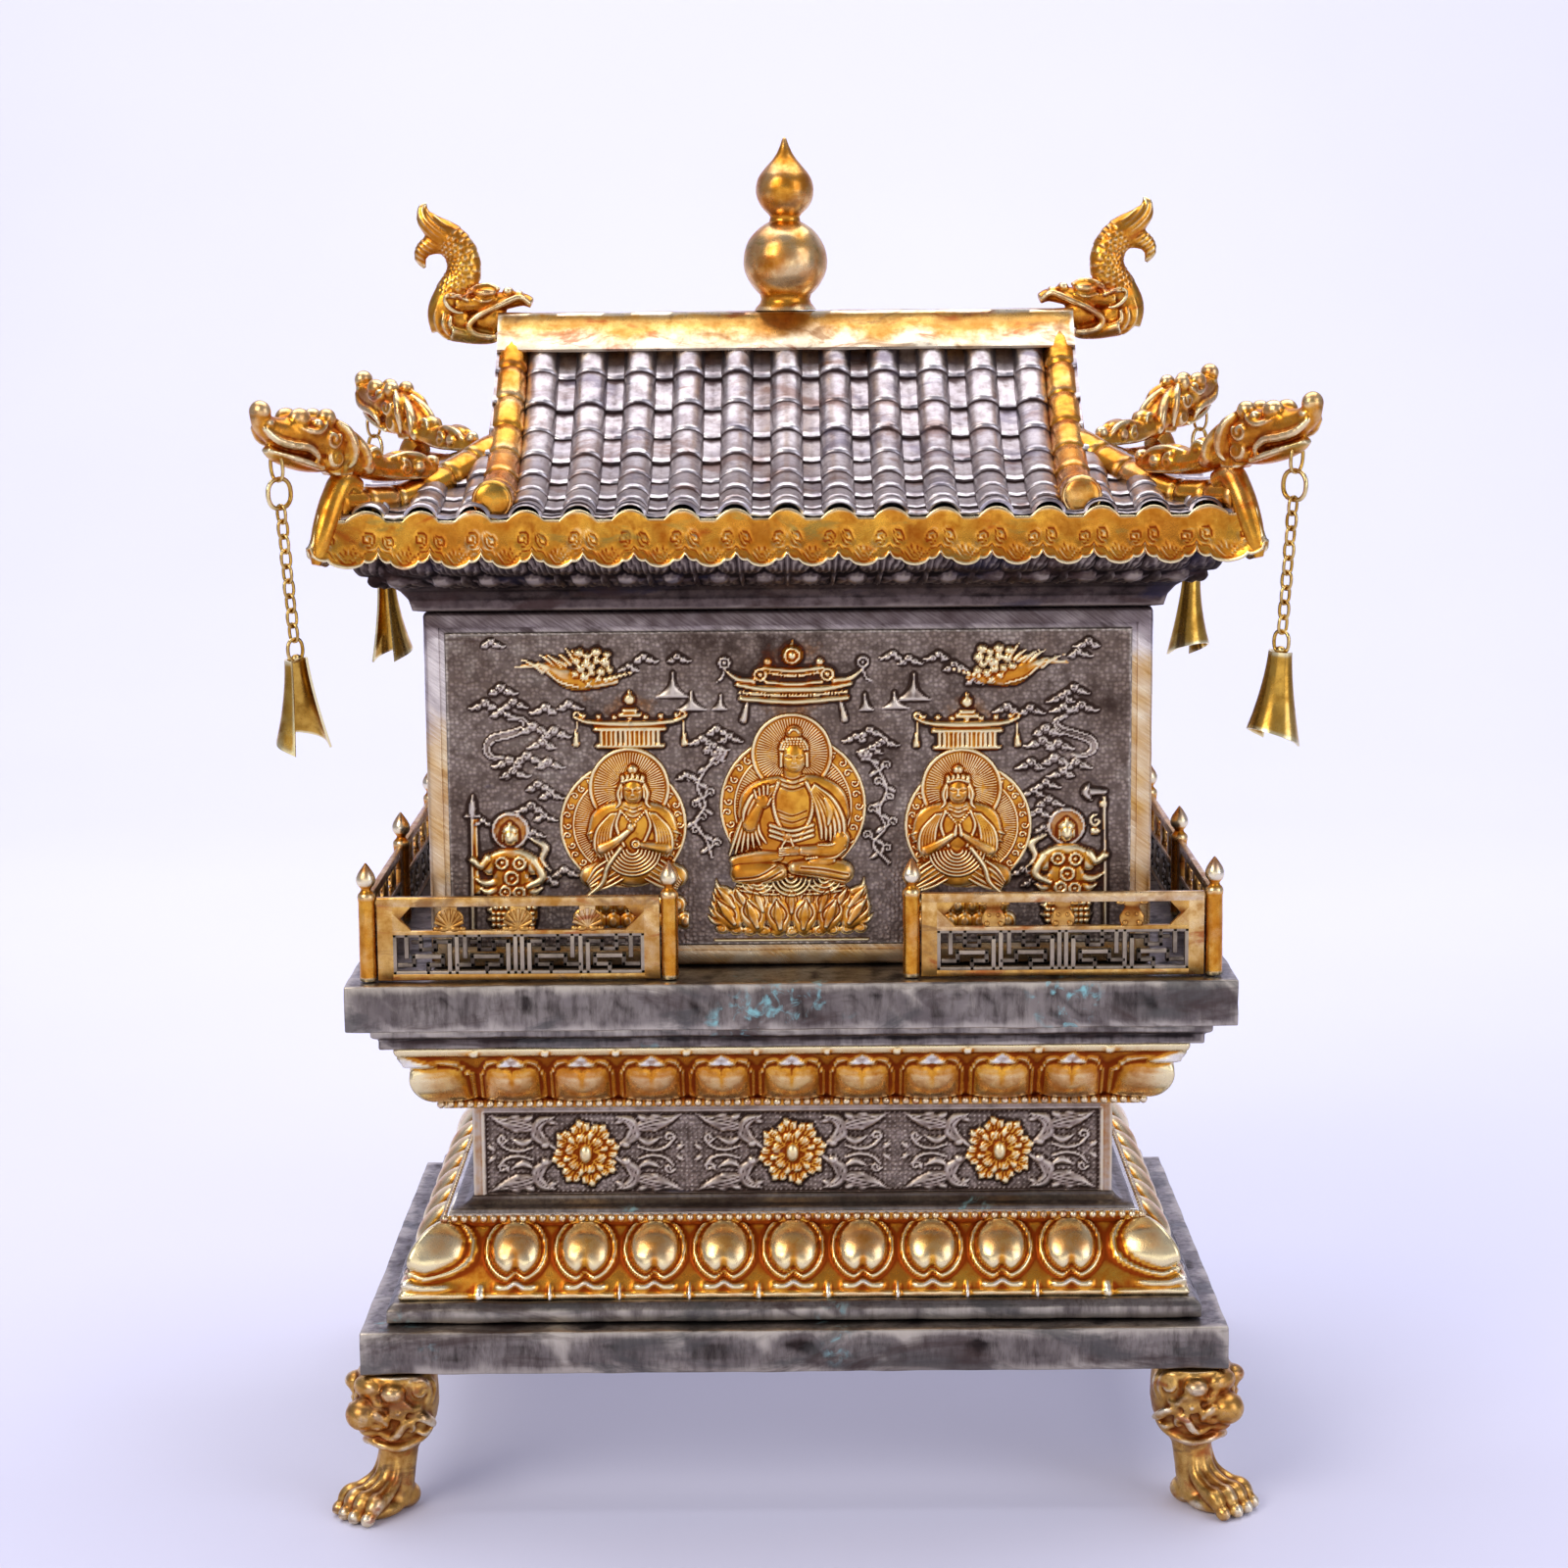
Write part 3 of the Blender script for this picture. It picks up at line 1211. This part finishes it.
def make_hip_dragon():
    """The dragon on a hip, in the corner's frame, heights from the eave's top."""
    size = HIP_DRAGON_LENGTH
    seat = CORNER_BLOCK_HEIGHT + GAP
    body = swept(
        [
            ((-0.640 * size, 0, 0.195 * size), 0.030 * size, 0.034 * size),
            ((-0.500 * size, 0, 0.220 * size), 0.054 * size, 0.056 * size),
            ((-0.220 * size, 0, 0.240 * size), 0.072 * size, 0.068 * size),
            ((-0.060 * size, 0, 0.320 * size), 0.082 * size, 0.090 * size),
            ((0.100 * size, 0, 0.385 * size), 0.090 * size, 0.115 * size),
            ((0.270 * size, 0, 0.420 * size), 0.070 * size, 0.085 * size),
            ((0.345 * size, 0, 0.480 * size), 0.045 * size, 0.048 * size),
            ((0.370 * size, 0, 0.545 * size), 0.026 * size, 0.024 * size),
        ]
    )
    jaw = swept(
        [
            ((0.060 * size, 0, 0.300 * size), 0.075 * size, 0.050 * size),
            ((0.200 * size, 0, 0.285 * size), 0.050 * size, 0.040 * size),
            ((0.330 * size, 0, 0.330 * size), CHIN_HALF_WIDTH, 0.036 * size),
        ]
    )
    shells = [
        jaw,
        ball((-0.255 * size, 0, 0.315 * size), (0.062 * size, 0.056 * size, 0.062 * size), 6, 2),
        ball((-0.595 * size, 0, 0.250 * size), (0.040 * size, 0.040 * size, 0.044 * size), 6, 2),
        block((-0.085 * size, -0.050 * size, seat), (-0.005 * size, 0.050 * size, 0.340 * size)),
    ]
    for side in (-1, 1):
        shells.append(ball((0.030 * size, side * 0.055 * size, 0.470 * size), (0.042 * size,) * 3, 6, 2))
        shells.append(ball((0.140 * size, side * 0.050 * size, 0.490 * size), (0.042 * size,) * 3, 6, 2))
    joined = shape_of(combined("hip_dragon", body, shells))
    hole = moved(
        turned([(CHIN_HOLE_RADIUS, -HIP_DRAGON_LENGTH), (CHIN_HOLE_RADIUS, HIP_DRAGON_LENGTH)], 4),
        Matrix.Translation(chin_point()) @ Matrix.Rotation(math.pi / 2, 4, "X"),
    )
    _, frame = next(corner_frames())
    home = (frame @ Matrix.Translation((0, 0, EAVE_TOP))).inverted()
    saddle = moved(ridge_tubes(frame, GAP)[1], home)
    return combined("hip_dragon", joined, [hole, saddle], "DIFFERENCE")


def chin_point():
    """The chin's bored hole, in the corner's frame, heights from the eave's top."""
    return Vector((0.300 * HIP_DRAGON_LENGTH, 0, 0.318 * HIP_DRAGON_LENGTH))


def ring_link(centre, half_long, half_wide, wire, turn, corners=6, sides=WIRE_SIDES):
    """A closed wire ring, long along Z, flat at both ends, its plane turned about Z."""
    bm = bmesh.new()
    rows = []
    reach = 1 / math.cos(math.pi / corners)
    for i in range(corners):
        angle = 2 * math.pi * (i + 0.5) / corners - math.pi / 2
        radial = Vector((math.cos(angle), 0, math.sin(angle)))
        middle = Vector((radial.x * half_wide, 0, radial.z * half_long)) * reach
        row = []
        for k in range(sides):
            tilt = 2 * math.pi * (k + 0.5) / sides
            in_plane = radial * (wire * reach * math.cos(tilt))
            row.append(bm.verts.new(middle + in_plane + Vector((0, wire * math.sin(tilt), 0))))
        rows.append(row)
    for i in range(corners):
        ahead = rows[(i + 1) % corners]
        for k in range(sides):
            j = (k + 1) % sides
            bm.faces.new([rows[i][k], rows[i][j], ahead[j], ahead[k]])
    moved(bm, Matrix.Translation(centre) @ Matrix.Rotation(turn, 4, "Z"))
    return oriented(bm)


def bell_shell(top):
    """A bell of curled sheet, wider below, its lower edge hollowed between two points."""
    rings = []
    for level in (0.0, 1.0):
        radius = BELL_TOP_RADIUS + (BELL_MOUTH_RADIUS - BELL_TOP_RADIUS) * level
        outer = []
        inner = []
        for k in range(BELL_STEPS + 1):
            share = k / BELL_STEPS
            angle = BELL_ARC * (share - 0.5) - math.pi / 2
            hollow = BELL_NOTCH * math.cos(math.pi * (share - 0.5)) * level
            height = top - (BELL_LENGTH * level - hollow)
            for ring, size in ((outer, radius), (inner, radius - BELL_SHEET)):
                x = size * math.cos(angle)
                y = size * BELL_DEPTH_SHARE * math.sin(angle)
                ring.append(Vector((x, y, height)))
        rings.append(outer + inner[::-1])
    return loft(rings)


def make_pendant():
    """Chain and bell below a dragon's chin, with the chin's hole at the origin and Z up."""
    loop_centre = -LOOP_LENGTH / 2 + LOOP_WIRE + CHIN_HOLE_RADIUS - 2 * LOOP_WIRE - GAP / 2
    half_wide = CHIN_HALF_WIDTH + LOOP_CLEARANCE + LOOP_WIRE
    loop = ring_link((0, 0, loop_centre), LOOP_LENGTH / 2, half_wide, LOOP_WIRE, math.pi / 2)
    cursor = loop_centre - LOOP_LENGTH / 2
    shells = []
    ring_centre = cursor - RING_RADIUS + WIRE_TOUCH * (LOOP_WIRE + RING_WIRE)
    shells.append(ring_link((0, 0, ring_centre), RING_RADIUS, RING_RADIUS, RING_WIRE, 0.0))
    cursor = ring_centre - RING_RADIUS
    for k in range(LINK_COUNT):
        held_by = RING_WIRE if k == 0 else LINK_WIRE
        centre = cursor - LINK_LENGTH / 2 + WIRE_TOUCH * (held_by + LINK_WIRE)
        turn = math.pi / 2 if k % 2 == 0 else 0.0
        shells.append(ring_link((0, 0, centre), LINK_LENGTH / 2, LINK_WIDTH / 2, LINK_WIRE, turn, 4))
        cursor = centre - LINK_LENGTH / 2
    eye_centre = cursor - BELL_EYE_RADIUS + WIRE_TOUCH * (LINK_WIRE + LOOP_WIRE)
    eye_turn = math.pi / 2 if LINK_COUNT % 2 == 0 else 0.0
    shells.append(ring_link((0, 0, eye_centre), BELL_EYE_RADIUS, BELL_EYE_RADIUS, LOOP_WIRE, eye_turn))
    bell_top = eye_centre - BELL_EYE_RADIUS + LOOP_WIRE
    lug = BELL_TOP_RADIUS * 0.9
    shells.append(block((-lug, -lug, bell_top - lug * 0.55), (lug, lug * 0.4, bell_top + lug * 0.28)))
    shells.append(bell_shell(bell_top))
    return combined("pendant", loop, shells)


def add_corner_dragons():
    dragon = make_hip_dragon()
    pendant = make_pendant()
    lift = Matrix.Translation((0, 0, EAVE_TOP))
    for name, frame in corner_frames():
        place(f"{name}_hip_dragon", dragon, GILDING, frame @ lift, True)
        hang = Matrix.Translation(chin_point()) @ Matrix.Rotation(PENDANT_LEAN, 4, "Y")
        place(f"{name}_bell_chain", pendant, BRASS, frame @ lift @ hang)


def main():
    clear_scene()
    add_legs()
    add_slabs()
    add_lotus_bands()
    add_waist()
    add_railing()
    add_body()
    add_relief_plates()
    add_cornice()
    add_valances()
    place("tiled_roof", make_roof(), TILE_SILVER)
    add_ridges()
    add_finial()
    add_ridge_dragons()
    add_corner_dragons()


main()
